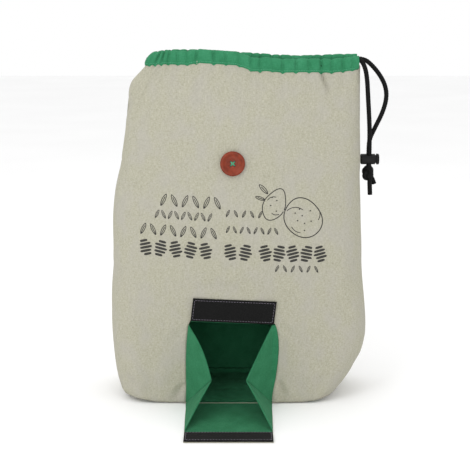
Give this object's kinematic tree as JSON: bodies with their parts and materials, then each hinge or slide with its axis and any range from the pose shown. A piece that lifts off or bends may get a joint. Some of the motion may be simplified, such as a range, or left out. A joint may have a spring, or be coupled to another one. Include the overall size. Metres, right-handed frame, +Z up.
{
  "type": "potato storage bag",
  "caption": "Free-standing lined cloth storage bag with a drawstring mouth, a spring cord lock, and a hook-and-loop hatch with bellows gussets at its foot.",
  "frame": {"origin": "centre of the base's underside, on the surface that the bag stands on, with the flap and the cord left out", "axes": "+Z up, +Y towards the back, +X towards the side that the drawcord leaves by; the hatch is at -Y"},
  "size_m": [0.2998, 0.2306, 0.372],
  "materials": {
    "canvas": "undyed linen and cotton canvas, slubby plain weave",
    "lining": "green cotton, plain weave",
    "green_band": "green cotton, gathered",
    "cord": "braided black cord",
    "lock_plastic": "satin black moulding",
    "spring_steel": "drawn wire",
    "button": "red-brown, lightly mottled, polished",
    "green_thread": "sewing thread",
    "tape": "black nylon hook-and-loop tape"
  },
  "bodies": {
    "root": {"outer_front_panel": "canvas", "outer_back_panel": "canvas", "outer_base_panel": "canvas", "lining_front": "lining", "lining_back": "lining", "lining_base": "lining", "casing_front": "green_band", "casing_back": "green_band", "drawcord_in_casing": "cord", "drawcord_front_leg": "cord", "drawcord_back_leg": "cord", "drawcord_end_knot": "cord", "drawcord_tail_long": "cord", "drawcord_tail_short": "cord", "button": "button", "button_thread": "green_thread", "panel_loop_tape": "tape"},
    "flap": {"flap_outer": "canvas", "flap_lining": "lining", "flap_hook_tape": "tape"},
    "gusset_left_upper": {"gusset_left_upper": "lining"},
    "gusset_left_lower": {"gusset_left_lower": "lining"},
    "gusset_right_upper": {"gusset_right_upper": "lining"},
    "gusset_right_lower": {"gusset_right_lower": "lining"},
    "cord_lock": {"cord_lock_barrel": "lock_plastic", "cord_lock_spring": "spring_steel"},
    "plunger": {"cord_lock_plunger": "lock_plastic"}
  },
  "joints": [
    {"name": "hatch_flap", "type": "hinge", "parent": "root", "child": "flap", "pos_m": [0, -0.0606, 0.0012], "axis": [-1, 0, 0], "range_deg": [0, 90]},
    {"name": "gusset_left_upper_fold", "type": "hinge", "parent": "root", "child": "gusset_left_upper", "pos_m": [-0.0465, -0.0579, 0.002], "axis": [0, 0, 1], "range_deg": [0, 52.5]},
    {"name": "gusset_right_upper_fold", "type": "hinge", "parent": "root", "child": "gusset_right_upper", "pos_m": [0.0465, -0.0579, 0.002], "axis": [0, 0, -1], "range_deg": [0, 52.5]},
    {"name": "gusset_left_lower_fold", "type": "hinge", "parent": "flap", "child": "gusset_left_lower", "pos_m": [-0.0465, -0.0579, 0.0021], "axis": [0, 1, 0], "range_deg": [0, 52.5]},
    {"name": "gusset_right_lower_fold", "type": "hinge", "parent": "flap", "child": "gusset_right_lower", "pos_m": [0.0465, -0.0579, 0.0021], "axis": [0, -1, 0], "range_deg": [0, 52.5]},
    {"name": "cord_lock_slide", "type": "slide", "parent": "root", "child": "cord_lock", "axis": [0, 0, 1], "range_m": [0, 0.008]},
    {"name": "plunger_press", "type": "slide", "parent": "cord_lock", "child": "plunger", "axis": [-1, 0, 0], "range_m": [0, 0.0018], "stiffness_N_per_m": 1500, "springref_m": -0.004, "deforming": ["cord_lock_spring"]}
  ],
  "couplings": [
    {"joint": "gusset_left_upper_fold", "follows": "hatch_flap", "ratio": 0.58253},
    {"joint": "gusset_right_upper_fold", "follows": "hatch_flap", "ratio": 0.58253},
    {"joint": "gusset_left_lower_fold", "follows": "hatch_flap", "ratio": 0.58253},
    {"joint": "gusset_right_lower_fold", "follows": "hatch_flap", "ratio": 0.58253}
  ]
}
